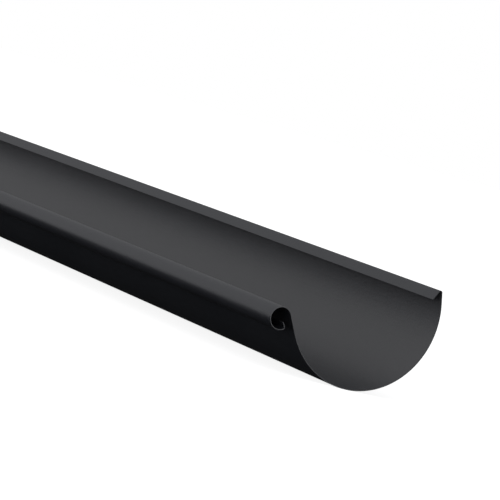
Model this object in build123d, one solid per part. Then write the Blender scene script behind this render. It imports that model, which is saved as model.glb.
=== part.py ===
"""Half-round sheet-steel gutter: one length of stock, lying unheld on a level floor.

One sheet is rolled into one solid: a rear edge folded in as a lip, a rear wall, the
half-round trough, a leaning front wall, and the rolled front bead that ends in a hook.
Millimetres. X runs along the gutter, +Y towards its rear wall, +Z up.
The origin is where the trough touches the floor, at the middle of the length.
"""
import os
from math import atan2, degrees

from build123d import *

# Stock
gutter_length = 2000.0
sheet_thickness = 0.6

# Trough
trough_inner_radius = 62.5

# Rear wall, and its top edge folded in and down as a lip
rear_wall_lean = 3.0
rear_wall_width = 9.0
rear_bend_inner_radius = 1.0
lip_slope = 45.0
lip_width = 8.0

# Front wall, from the trough up to the bead
front_wall_lean = 12.5
front_wall_width = 15.2

# Front bead, rolled outwards from the top of the front wall
bead_outer_radius = 8.8
bead_roll = 271.0

# Hook that stiffens the sheet's free edge inside the bead
hook_outer_radius = 1.4
hook_turn = 78.0
hook_edge_radius = 9.0
hook_edge_turn = 29.0

quarter_turn = 90.0
trough_outer_radius = trough_inner_radius + sheet_thickness


def sheet_section():
    """The upright section, about the trough's centre, with the rear wall at +X.

    The line that is drawn is the face that holds the water. It goes on over the front
    wall as the outside of the bead, and under the lip as the inside of the rear fold.
    """
    with BuildSketch() as section:
        with BuildLine():
            trough = CenterArc(
                center=(0, 0),
                radius=trough_inner_radius,
                start_angle=-rear_wall_lean,
                arc_size=rear_wall_lean + front_wall_lean - 2 * quarter_turn,
            )

            # From the front of the trough up and outwards
            front_wall = PolarLine(
                start=trough @ 1,
                length=front_wall_width,
                angle=quarter_turn + front_wall_lean,
            )
            bead = JernArc(
                start=front_wall @ 1,
                tangent=front_wall % 1,
                radius=bead_outer_radius,
                arc_size=bead_roll,
            )
            hook_bend = JernArc(
                start=bead @ 1,
                tangent=bead % 1,
                radius=hook_outer_radius,
                arc_size=hook_turn,
            )
            JernArc(
                start=hook_bend @ 1,
                tangent=hook_bend % 1,
                radius=hook_edge_radius,
                arc_size=hook_edge_turn,
            )

            # From the back of the trough up and inwards
            rear_wall = PolarLine(
                start=trough @ 0,
                length=rear_wall_width,
                angle=quarter_turn - rear_wall_lean,
            )
            rear_bend = JernArc(
                start=rear_wall @ 1,
                tangent=rear_wall % 1,
                radius=rear_bend_inner_radius,
                arc_size=quarter_turn + rear_wall_lean + lip_slope,
            )
            PolarLine(
                start=rear_bend @ 1,
                length=lip_width,
                direction=rear_bend % 1,
            )

            # The sheet's thickness lies outside that face
            offset(amount=sheet_thickness, side=Side.LEFT)
        make_face()
    return section.face()


def rest_roll(section):
    """How far the heavy bead rolls the round trough before it balances, in degrees."""
    balance = section.center(CenterOf.MASS)
    return degrees(atan2(-balance.X, -balance.Y))


def gutter():
    """The section stood across X, rolled to its rest, and drawn out to stock length."""
    section = sheet_section()
    across_x = Plane.YZ * section
    at_rest = across_x.rotate(Axis.X, rest_roll(section))
    on_floor = at_rest.translate((0, 0, trough_outer_radius))
    return extrude(on_floor, amount=gutter_length / 2, both=True)


os.makedirs("parts", exist_ok=True)
export_step(gutter(), "parts/gutter.step")
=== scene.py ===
"""The looks of a half-round steel gutter: thin sheet, dark coil coating, floor, light and camera.

Metres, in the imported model's frame: X along the gutter, +Y towards its rear wall, +Z up,
with the round trough resting on the floor at the origin.
"""
from math import atan2, ceil, cos, pi, radians, sin

import bpy
from mathutils import Matrix, Vector


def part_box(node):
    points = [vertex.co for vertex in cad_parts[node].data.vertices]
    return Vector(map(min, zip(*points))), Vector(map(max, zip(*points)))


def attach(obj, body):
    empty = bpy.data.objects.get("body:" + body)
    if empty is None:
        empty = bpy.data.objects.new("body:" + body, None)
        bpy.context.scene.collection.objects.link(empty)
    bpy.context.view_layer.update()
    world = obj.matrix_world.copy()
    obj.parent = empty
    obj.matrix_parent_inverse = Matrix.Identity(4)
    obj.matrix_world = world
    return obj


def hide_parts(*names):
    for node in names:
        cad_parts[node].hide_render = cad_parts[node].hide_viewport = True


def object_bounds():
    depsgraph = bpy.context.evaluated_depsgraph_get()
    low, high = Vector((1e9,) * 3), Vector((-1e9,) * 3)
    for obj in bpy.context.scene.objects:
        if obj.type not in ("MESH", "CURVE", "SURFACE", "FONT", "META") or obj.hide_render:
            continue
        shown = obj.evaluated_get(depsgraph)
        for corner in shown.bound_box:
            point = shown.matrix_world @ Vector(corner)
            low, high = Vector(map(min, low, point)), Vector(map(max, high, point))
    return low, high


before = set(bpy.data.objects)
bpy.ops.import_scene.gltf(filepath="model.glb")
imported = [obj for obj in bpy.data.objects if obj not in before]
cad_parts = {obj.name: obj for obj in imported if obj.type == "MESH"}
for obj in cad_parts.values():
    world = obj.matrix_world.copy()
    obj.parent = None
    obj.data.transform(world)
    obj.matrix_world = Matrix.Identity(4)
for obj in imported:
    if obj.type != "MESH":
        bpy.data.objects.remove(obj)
cad_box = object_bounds()

MM = 0.001
QUARTER = pi / 2
WHITE = (1, 1, 1, 1)

# The sheet's section, as the solid has it
SHEET_THICKNESS = 0.6 * MM
TROUGH_INNER_RADIUS = 62.5 * MM
TROUGH_OUTER_RADIUS = TROUGH_INNER_RADIUS + SHEET_THICKNESS
REAR_WALL_LEAN = radians(3.0)
REAR_WALL_WIDTH = 9.0 * MM
REAR_BEND_INNER_RADIUS = 1.0 * MM
LIP_SLOPE = radians(45.0)
LIP_WIDTH = 8.0 * MM
FRONT_WALL_LEAN = radians(12.5)
FRONT_WALL_WIDTH = 15.2 * MM
BEAD_OUTER_RADIUS = 8.8 * MM
BEAD_ROLL = radians(271.0)
HOOK_OUTER_RADIUS = 1.4 * MM
HOOK_TURN = radians(78.0)
HOOK_EDGE_RADIUS = 9.0 * MM
HOOK_EDGE_TURN = radians(29.0)

# How finely the mesh follows it
ARC_STEP = radians(3.0)
STRAIGHT_STEP = 1.2 * MM
SMALL_ARC_STEPS = 8
LENGTH_STEP = 25.0 * MM
EDGE_ROUND = 0.14 * MM
EDGE_ROUND_STEPS = 4
EDGE_POINTS = 2 * (EDGE_ROUND_STEPS + 1)
CUT_BEVEL = 0.08 * MM
END_HOLD = 1.5 * MM
CREASE = radians(28.0)

# Darkest and lightest of each shade
PAINT = ((0.0095, 0.0107, 0.0145, 1), (0.0205, 0.0217, 0.0255, 1))
# The two paler pairs are painted light: lighter copies of the paint for the inner face, palest below the
# lip, where the trough's walls shade it
INNER_PAINTED_LIGHT = ((0.0227, 0.0234, 0.0261, 1), (0.0372, 0.0378, 0.0405, 1))
UNDER_LIP_PAINTED_LIGHT = ((0.0315, 0.0324, 0.0362, 1), (0.0516, 0.0525, 0.0563, 1))
CUT_METAL = ((0.072, 0.0732, 0.0756, 1), (0.108, 0.1098, 0.1128, 1))

# Where the painted light on the inner face and the painted shade on the cut give way, across the flat
# strip from the lip's edge
UNDER_LIP_PAINTED_LIGHT_END = (29.0 * MM, 47.0 * MM)
INNER_PAINTED_LIGHT_END = (70.0 * MM, 175.0 * MM)
CUT_PAINTED_SHADE_END = (20.0 * MM, 140.0 * MM)

# The coating's patterns, as noise cells to the metre, and where most of a noise's values lie
CLOUD_SCALE = 9.0
ROLL_LINE_SCALE = (1.4, 420.0, 1.0)
PEEL_SCALE = 520.0
GRAIN_SCALE = 2600.0
NICK_SCALE = 1300.0
NOISE_RANGE = (0.3, 0.7)

# How far the shade swings: by the clouds or the roll lines, by the grain, and by all of them
TONE_SWING = (-0.5, 0.5)
GRAIN_SWING = (-1.0, 1.0)
SHADE_SWING = (-2.0, 2.0)

# The coating's relief and gloss
ROLL_LINE_RELIEF = 0.030 * MM
PEEL_RELIEF = 0.090 * MM
GRAIN_RELIEF = 0.070 * MM
PAINT_ROUGHNESS = 0.375
TONE_ROUGHNESS = 0.03
GRAIN_ROUGHNESS = (-0.03, 0.03)
BARE_ROUGHNESS = 0.15
BARE_METALLIC = 0.3
PAINT_IOR = 1.5

# How bare the slit edges are, and the nicks at the cut
SLIT_EDGE_SHARE = 0.3
NICK_REACH = 0.9 * MM
NICK_PULL = 0.20
NICK_EDGE = (0.78, 0.84)

# The photograph's camera, about the upright section at the near end
FRAME_SIZE = 500.0
SENSOR = 36.0
LENS = 210.07
VIEW_AZIMUTH = radians(26.608)
VIEW_PITCH = radians(11.001)
NEAR_END_PIXEL = Vector((367.9, 307.66))
FRAME_CENTRE_PIXEL = Vector((249.5, 249.5))
NEAR_END_DEPTH = 2164.4 * MM

# Floor
FLOOR_RADIUS = 40.0
FLOOR_SIDES = 64
FLOOR_COLOUR = (0.90, 0.90, 0.90, 1)
FLOOR_GLOW = 1.46
FLOOR_GLOW_SHARE = 0.60

# How strong the light is from each side of the upright section
SKY_COLOUR = (0.972, 0.977, 1.0, 1)
SKY_FRONT = 1.16
SKY_REAR_FAR = 0.19
SKY_REAR_NEAR = 0.52
SKY_END_SHARE = 0.55
GROUND_FRONT_FAR = 0.008
GROUND_FRONT_NEAR = 0.055
GROUND_REAR = 1.60

# Where that changes, as the cosine of the angle to the near end, the rear or straight up
END_TURN = (-1.0, -0.7)
NEAR_TURN = (-0.6, -0.2)
GROUND_TURN = (0.40, 0.80)
HORIZON = (-0.010, 0.025)


def straight(start, heading, length):
    """Points and headings along a line, without its first point."""
    steps = max(1, ceil(length / STRAIGHT_STEP))
    along = Vector((cos(heading), sin(heading)))
    return [(start + along * (length * k / steps), heading) for k in range(1, steps + 1)]


def bend(start, heading, radius, turn):
    """Points and headings along an arc, without its first point. A positive turn is to the left."""
    steps = max(SMALL_ARC_STEPS, ceil(abs(turn) / ARC_STEP))
    side = 1 if turn > 0 else -1
    centre = start + side * radius * Vector((-sin(heading), cos(heading)))
    run = []
    for k in range(1, steps + 1):
        angle = heading + turn * k / steps
        run.append((centre - side * radius * Vector((-sin(angle), cos(angle))), angle))
    return run


def walk(start, heading, legs):
    """A chain of tangent lines and arcs from one point. Each leg is (length,) or (radius, turn)."""
    run = [(start, heading)]
    for leg in legs:
        point, angle = run[-1]
        run += straight(point, angle, *leg) if len(leg) == 1 else bend(point, angle, *leg)
    return run


def water_face():
    """The sheet's inner face from the lip's edge to the hook's: points, and the way to the outer face."""
    trough_back = TROUGH_INNER_RADIUS * Vector((cos(REAR_WALL_LEAN), -sin(REAR_WALL_LEAN)))
    rear = walk(trough_back, QUARTER - REAR_WALL_LEAN, [
        (REAR_WALL_WIDTH,),
        (REAR_BEND_INNER_RADIUS, QUARTER + REAR_WALL_LEAN + LIP_SLOPE),
        (LIP_WIDTH,),
    ])
    front = walk(trough_back, -QUARTER - REAR_WALL_LEAN, [
        (TROUGH_INNER_RADIUS, REAR_WALL_LEAN + FRONT_WALL_LEAN - 2 * QUARTER),
        (FRONT_WALL_WIDTH,),
        (BEAD_OUTER_RADIUS, BEAD_ROLL),
        (HOOK_OUTER_RADIUS, HOOK_TURN),
        (HOOK_EDGE_RADIUS, HOOK_EDGE_TURN),
    ])
    towards_hook = [(point, angle - 2 * QUARTER) for point, angle in reversed(rear[1:])] + front
    return [(point, Vector((-sin(angle), cos(angle)))) for point, angle in towards_hook]


def free_edge(point, across, inset, outwards):
    """The rounded free edge of the sheet, from its inner to its outer face."""
    reach = EDGE_ROUND - inset
    inner = point - outwards * EDGE_ROUND + across * EDGE_ROUND
    outer = point - outwards * EDGE_ROUND + across * (SHEET_THICKNESS - EDGE_ROUND)
    turns = [QUARTER * k / EDGE_ROUND_STEPS for k in range(EDGE_ROUND_STEPS + 1)]
    first = [inner + reach * (outwards * sin(a) - across * cos(a)) for a in turns]
    second = [outer + reach * (outwards * cos(a) + across * sin(a)) for a in turns]
    return first + second


def section_ring(face, inset):
    """The closed outline, drawn in by inset: inner face, hook's edge, outer face, lip's edge."""
    sides = face[1:-1]
    inner = [point + across * inset for point, across in sides]
    outer = [point + across * (SHEET_THICKNESS - inset) for point, across in sides]
    lip_point, lip_across = face[0]
    hook_point, hook_across = face[-1]
    lip_out = Vector((-lip_across.y, lip_across.x))
    hook_out = Vector((hook_across.y, -hook_across.x))
    hook_edge = free_edge(hook_point, hook_across, inset, hook_out)
    lip_edge = free_edge(lip_point, lip_across, inset, lip_out)
    return inner + hook_edge + outer[::-1] + lip_edge[::-1]


def strip_distances(face):
    """How far each point of that outline lies across the flat strip, from the lip's edge."""
    inner = [0]
    for (a, _), (b, _) in zip(face[1:], face[2:-1]):
        inner.append(inner[-1] + (b - a).length)
    hook_edge = [inner[-1]] * EDGE_POINTS
    lip_edge = [0] * EDGE_POINTS
    return inner + hook_edge + inner[::-1] + lip_edge


def centroid(ring):
    """The balance point of a closed outline."""
    area = 0
    total = Vector((0, 0))
    for a, b in zip(ring, ring[1:] + ring[:1]):
        cross = a.x * b.y - b.x * a.y
        area += cross
        total += (a + b) * cross
    return total / (3 * area)


def stations(length):
    """Places along the gutter, each with how far the outline is drawn in there."""
    half = length / 2
    inner = half - CUT_BEVEL - END_HOLD
    steps = ceil(2 * inner / LENGTH_STEP)
    places = [(-inner + 2 * inner * k / steps, 0) for k in range(steps + 1)]
    near = [(half - CUT_BEVEL, 0), (half, CUT_BEVEL)]
    far = [(-x, inset) for x, inset in reversed(near)]
    return far + places + near


def rest_frame(face):
    """The turn and lift that bring the upright section to its rest on the floor."""
    balance = centroid(section_ring(face, 0))
    roll = atan2(-balance.x, -balance.y)
    return Matrix.Translation((0, 0, TROUGH_OUTER_RADIUS)) @ Matrix.Rotation(roll, 4, "X")


def end_cut(sides, count):
    """The faces of a flat end, as corners of its ring: four-cornered ones, and one at each free edge."""
    last = 2 * sides + EDGE_POINTS - 1
    along_sheet = [(k, k + 1, last - k - 1, last - k) for k in range(sides - 1)]
    at_hook = tuple(range(sides - 1, sides + EDGE_POINTS + 1))
    at_lip = tuple(range(last, count)) + (0,)
    return along_sheet + [at_hook, at_lip]


def sheet_object(verts, faces, places, bare, water):
    """The mesh as an object, with the strip place of each point, and for each face its share of bare
    metal and whether it takes the painted light of the water's side.
    """
    mesh = bpy.data.meshes.new("gutter_sheet")
    mesh.from_pydata(verts, [], faces)
    strip_place = mesh.attributes.new("strip_place", "FLOAT_VECTOR", "POINT")
    strip_place.data.foreach_set("vector", [c for place in places for c in place])
    for name, shares in (("bare_edge", bare), ("water_side", water)):
        mesh.attributes.new(name, "FLOAT", "FACE").data.foreach_set("value", shares)
    mesh.polygons.foreach_set("use_smooth", [True] * len(faces))
    mesh.set_sharp_from_angle(angle=CREASE)
    mesh.update()
    piece = bpy.data.objects.new("gutter_sheet", mesh)
    bpy.context.scene.collection.objects.link(piece)
    return piece


def make_gutter(face, to_rest):
    """The whole sheet as one closed mesh: the section's outline along the gutter, with flat ends."""
    low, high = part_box("gutter")
    rows = stations(high.x - low.x)
    rings = {inset: section_ring(face, inset) for inset in (0, CUT_BEVEL)}
    distances = strip_distances(face)
    count = len(distances)
    sides = len(face) - 2

    # The mesh is finer than the solid's own facets, and is held inside their box
    verts, places = [], []
    for x, inset in rows:
        for point, distance in zip(rings[inset], distances):
            spot = to_rest @ Vector((x, point.x, point.y))
            spot.y = min(max(spot.y, low.y), high.y)
            spot.z = min(max(spot.z, low.z), high.z)
            verts.append(spot)
            places.append((x, distance, 0))

    # Metal shows where the sheet was cut to length, and a little on its slit edges
    faces, bare, water = [], [], []
    hook_edge = sides + EDGE_ROUND_STEPS
    lip_edge = 2 * sides + EDGE_POINTS + EDGE_ROUND_STEPS
    for r in range(len(rows) - 1):
        here, there = r * count, (r + 1) * count
        at_bevel = rows[r][1] > 0 or rows[r + 1][1] > 0
        for k in range(count):
            after = (k + 1) % count
            slit_share = SLIT_EDGE_SHARE if k in (hook_edge, lip_edge) else 0.0
            faces.append((here + k, here + after, there + after, there + k))
            bare.append(1.0 if at_bevel else slit_share)
            water.append(0.0 if hook_edge <= k <= lip_edge else 1.0)

    near_row = (len(rows) - 1) * count
    far_end = [corners[::-1] for corners in end_cut(sides, count)]
    near_end = [tuple(near_row + c for c in corners) for corners in end_cut(sides, count)]
    ends = far_end + near_end
    faces += ends
    bare += [1.0] * len(ends)
    water += [0.0] * len(ends)
    return sheet_object(verts, faces, places, bare, water)


class Nodes:
    """A short way to add nodes to a tree and join them."""

    def __init__(self, tree):
        self.tree = tree
        tree.nodes.clear()

    def add(self, kind, inputs=None, **settings):
        node = self.tree.nodes.new(kind)
        for name, value in settings.items():
            setattr(node, name, value)
        for name, value in (inputs or {}).items():
            self.set(node.inputs[name], value)
        return node

    def set(self, socket, value):
        if isinstance(value, bpy.types.NodeSocket):
            self.tree.links.new(value, socket)
        else:
            socket.default_value = value

    def attribute(self, name):
        return self.add("ShaderNodeAttribute", attribute_name=name).outputs

    def math(self, operation, *values):
        return self.add("ShaderNodeMath", dict(enumerate(values)), operation=operation).outputs[0]

    def ramp(self, value, from_range, to_range=(0.0, 1.0), smooth=False):
        node = self.add("ShaderNodeMapRange", {
            "Value": value,
            "From Min": from_range[0], "From Max": from_range[1],
            "To Min": to_range[0], "To Max": to_range[1],
        }, interpolation_type="SMOOTHSTEP" if smooth else "LINEAR")
        return node.outputs["Result"]

    def noise(self, place, scale, detail, roughness=0.5):
        node = self.add("ShaderNodeTexNoise", {
            "Vector": place, "Scale": scale, "Detail": detail, "Roughness": roughness,
        })
        return node.outputs["Fac"]

    def stretched(self, place, scale):
        return self.add("ShaderNodeVectorMath", {0: place, 1: scale}, operation="MULTIPLY").outputs[0]

    def mix(self, share, first, second):
        node = self.add("ShaderNodeMix", data_type="RGBA")
        for socket, value in zip([s for s in node.inputs if s.enabled], (share, first, second)):
            self.set(socket, value)
        return next(s for s in node.outputs if s.enabled)

    def relief(self, height, distance, under=None):
        inputs = {"Height": height, "Strength": 1.0, "Distance": distance}
        if under is not None:
            inputs["Normal"] = under
        return self.add("ShaderNodeBump", inputs).outputs[0]


def paint_and_painted_light(n, tone, grain, across):
    """Graphite, with painted light on the water's side: paler at the rear of the trough, and palest below
    the lip.
    """
    speckled = n.math("ADD", tone, n.ramp(grain, NOISE_RANGE, GRAIN_SWING))
    shade = n.ramp(speckled, SHADE_SWING)
    under_lip_painted_light = n.ramp(across, UNDER_LIP_PAINTED_LIGHT_END, (1.0, 0.0), smooth=True)
    rear_painted_light = n.ramp(across, INNER_PAINTED_LIGHT_END, (1.0, 0.0), smooth=True)
    painted_light_share = n.math("MULTIPLY", n.attribute("water_side")["Fac"], rear_painted_light)
    pale = n.mix(under_lip_painted_light, n.mix(shade, *INNER_PAINTED_LIGHT), n.mix(shade, *UNDER_LIP_PAINTED_LIGHT))
    return n.mix(painted_light_share, n.mix(shade, *PAINT), pale)


def nicks(n, spot, along, half_length):
    """Where the paint has small chips that run in from the cut."""
    from_end = n.math("SUBTRACT", half_length, n.math("ABSOLUTE", along))
    near_cut = n.ramp(from_end, (0.0, NICK_REACH), (NICK_PULL, 0.0))
    return n.ramp(n.math("ADD", n.noise(spot, NICK_SCALE, detail=4.0), near_cut), NICK_EDGE)


def coil_coating(half_length):
    """Dark graphite paint on galvanised sheet, fine in the grain, and nicked where the sheet was cut,
    with painted light on its inner face and painted shade on the rear of the cut.
    """
    material = bpy.data.materials.new("coil_coating")
    material.use_nodes = True
    n = Nodes(material.node_tree)
    strip = n.attribute("strip_place")["Vector"]
    bare_edge = n.attribute("bare_edge")["Fac"]
    spot = n.add("ShaderNodeTexCoord").outputs["Object"]
    place = n.add("ShaderNodeSeparateXYZ", {0: strip})
    along, across = place.outputs["X"], place.outputs["Y"]

    cloud = n.noise(spot, CLOUD_SCALE, detail=3.0)
    roll_lines = n.noise(n.stretched(strip, ROLL_LINE_SCALE), 1.0, detail=4.0)
    peel = n.noise(spot, PEEL_SCALE, detail=2.0)
    grain = n.noise(spot, GRAIN_SCALE, detail=3.0, roughness=0.6)
    cloud_tone = n.ramp(cloud, NOISE_RANGE, TONE_SWING)
    line_tone = n.ramp(roll_lines, NOISE_RANGE, TONE_SWING)
    tone = n.math("ADD", cloud_tone, line_tone)

    # The cut keeps the paint's dark colour at the rear, as painted shade, and shows dull metal at the
    # front
    paint = paint_and_painted_light(n, tone, grain, across)
    metal = n.mix(grain, *CUT_METAL)
    cut_colour_with_painted_shade = n.mix(n.ramp(across, CUT_PAINTED_SHADE_END, smooth=True), paint, metal)
    nick = nicks(n, spot, along, half_length)
    colour = n.mix(nick, n.mix(bare_edge, paint, cut_colour_with_painted_shade), metal)
    bare = n.math("MAXIMUM", bare_edge, nick)

    satin = n.math("ADD", PAINT_ROUGHNESS, n.math("MULTIPLY", tone, TONE_ROUGHNESS))
    grainy = n.math("ADD", satin, n.ramp(grain, NOISE_RANGE, GRAIN_ROUGHNESS))
    line_relief = n.relief(roll_lines, ROLL_LINE_RELIEF)
    peel_relief = n.relief(peel, PEEL_RELIEF, under=line_relief)
    shader = n.add("ShaderNodeBsdfPrincipled", {
        "Base Color": colour,
        "Roughness": n.math("ADD", grainy, n.math("MULTIPLY", bare, BARE_ROUGHNESS)),
        "Metallic": n.math("MULTIPLY", bare, BARE_METALLIC),
        "Normal": n.relief(grain, GRAIN_RELIEF, under=peel_relief),
        "IOR": PAINT_IOR,
    })
    n.add("ShaderNodeOutputMaterial", {"Surface": shader.outputs[0]})
    return material


def pale_floor():
    """The studio floor. It shows and takes shadows, and throws no light back up at the gutter."""
    turns = [2 * pi * k / FLOOR_SIDES for k in range(FLOOR_SIDES)]
    corners = [(FLOOR_RADIUS * cos(a), FLOOR_RADIUS * sin(a), 0) for a in turns]
    mesh = bpy.data.meshes.new("studio_floor")
    mesh.from_pydata(corners, [], [range(FLOOR_SIDES)])
    floor = bpy.data.objects.new("studio_floor", mesh)
    bpy.context.scene.collection.objects.link(floor)
    material = bpy.data.materials.new("pale_floor")
    material.use_nodes = True
    n = Nodes(material.node_tree)
    lit = n.add("ShaderNodeBsdfDiffuse", {"Color": FLOOR_COLOUR})
    glow = n.add("ShaderNodeEmission", {"Color": WHITE, "Strength": FLOOR_GLOW})
    both = n.add("ShaderNodeMixShader", {0: FLOOR_GLOW_SHARE, 1: lit.outputs[0], 2: glow.outputs[0]})
    n.add("ShaderNodeOutputMaterial", {"Surface": both.outputs[0]})
    mesh.materials.append(material)
    floor.visible_diffuse = False
    floor.visible_glossy = False
    floor.visible_transmission = False
    floor.visible_shadow = False


def studio_sky(to_rest):
    """A dome of soft light about the upright section, which the camera sees as plain white.

    Above the horizon it fades from the front to the rear. Below it, it is dark in front
    and bright behind, which is what lights the outside of the trough there.
    """
    world = bpy.data.worlds.new("studio_sky")
    bpy.context.scene.world = world
    world.use_nodes = True
    n = Nodes(world.node_tree)
    way = n.add("ShaderNodeTexCoord").outputs["Generated"]
    turned = to_rest.to_3x3()

    def reach(axis):
        inputs = {0: way, 1: turned @ Vector(axis)}
        return n.add("ShaderNodeVectorMath", inputs, operation="DOT_PRODUCT").outputs["Value"]

    along, rearwards, upwards = reach((1, 0, 0)), reach((0, 1, 0)), reach((0, 0, 1))
    near = n.ramp(along, NEAR_TURN, smooth=True)
    sky_rear = n.ramp(near, (0.0, 1.0), (SKY_REAR_FAR, SKY_REAR_NEAR))
    sky = n.ramp(rearwards, (-1.0, 1.0), (SKY_FRONT, sky_rear))
    above = n.math("MULTIPLY", sky, n.ramp(along, END_TURN, (SKY_END_SHARE, 1.0), smooth=True))
    ground_front = n.ramp(near, (0.0, 1.0), (GROUND_FRONT_FAR, GROUND_FRONT_NEAR))
    below = n.ramp(rearwards, GROUND_TURN, (ground_front, GROUND_REAR), smooth=True)
    light = n.ramp(upwards, HORIZON, (below, above), smooth=True)
    dome = n.add("ShaderNodeBackground", {"Color": SKY_COLOUR, "Strength": light})
    backdrop = n.add("ShaderNodeBackground", {"Color": WHITE, "Strength": 1.0})
    seen = n.add("ShaderNodeLightPath").outputs["Is Camera Ray"]
    either = n.add("ShaderNodeMixShader", {0: seen, 1: dome.outputs[0], 2: backdrop.outputs[0]})
    n.add("ShaderNodeOutputWorld", {"Surface": either.outputs[0]})


def photo_camera(near_end_x, to_rest):
    """The photograph's view of the upright section, turned with the gutter to its rest."""
    forward = Vector((
        -cos(VIEW_PITCH) * cos(VIEW_AZIMUTH),
        cos(VIEW_PITCH) * sin(VIEW_AZIMUTH),
        -sin(VIEW_PITCH),
    ))
    right = forward.cross(Vector((0, 0, 1))).normalized()
    up = right.cross(forward)
    focal = LENS / SENSOR * FRAME_SIZE
    off = (NEAR_END_PIXEL - FRAME_CENTRE_PIXEL) * (NEAR_END_DEPTH / focal)
    near_end = Vector((near_end_x, 0, 0))
    place = near_end - forward * NEAR_END_DEPTH - right * off.x + up * off.y
    data = bpy.data.cameras.new("photo_camera")
    data.sensor_width = SENSOR
    data.lens = LENS
    camera = bpy.data.objects.new("photo_camera", data)
    turn = Matrix((right, up, -forward)).transposed().to_4x4()
    camera.matrix_world = to_rest @ Matrix.Translation(place) @ turn
    bpy.context.scene.collection.objects.link(camera)
    bpy.context.scene.camera = camera


near_end_x = cad_box[1].x
sheet_face = water_face()
to_rest = rest_frame(sheet_face)
gutter = make_gutter(sheet_face, to_rest)
gutter.data.materials.append(coil_coating(half_length=near_end_x))
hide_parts("gutter")
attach(gutter, "root")

pale_floor()
studio_sky(to_rest)
photo_camera(near_end_x, to_rest)
bpy.context.scene.view_settings.view_transform = "Standard"
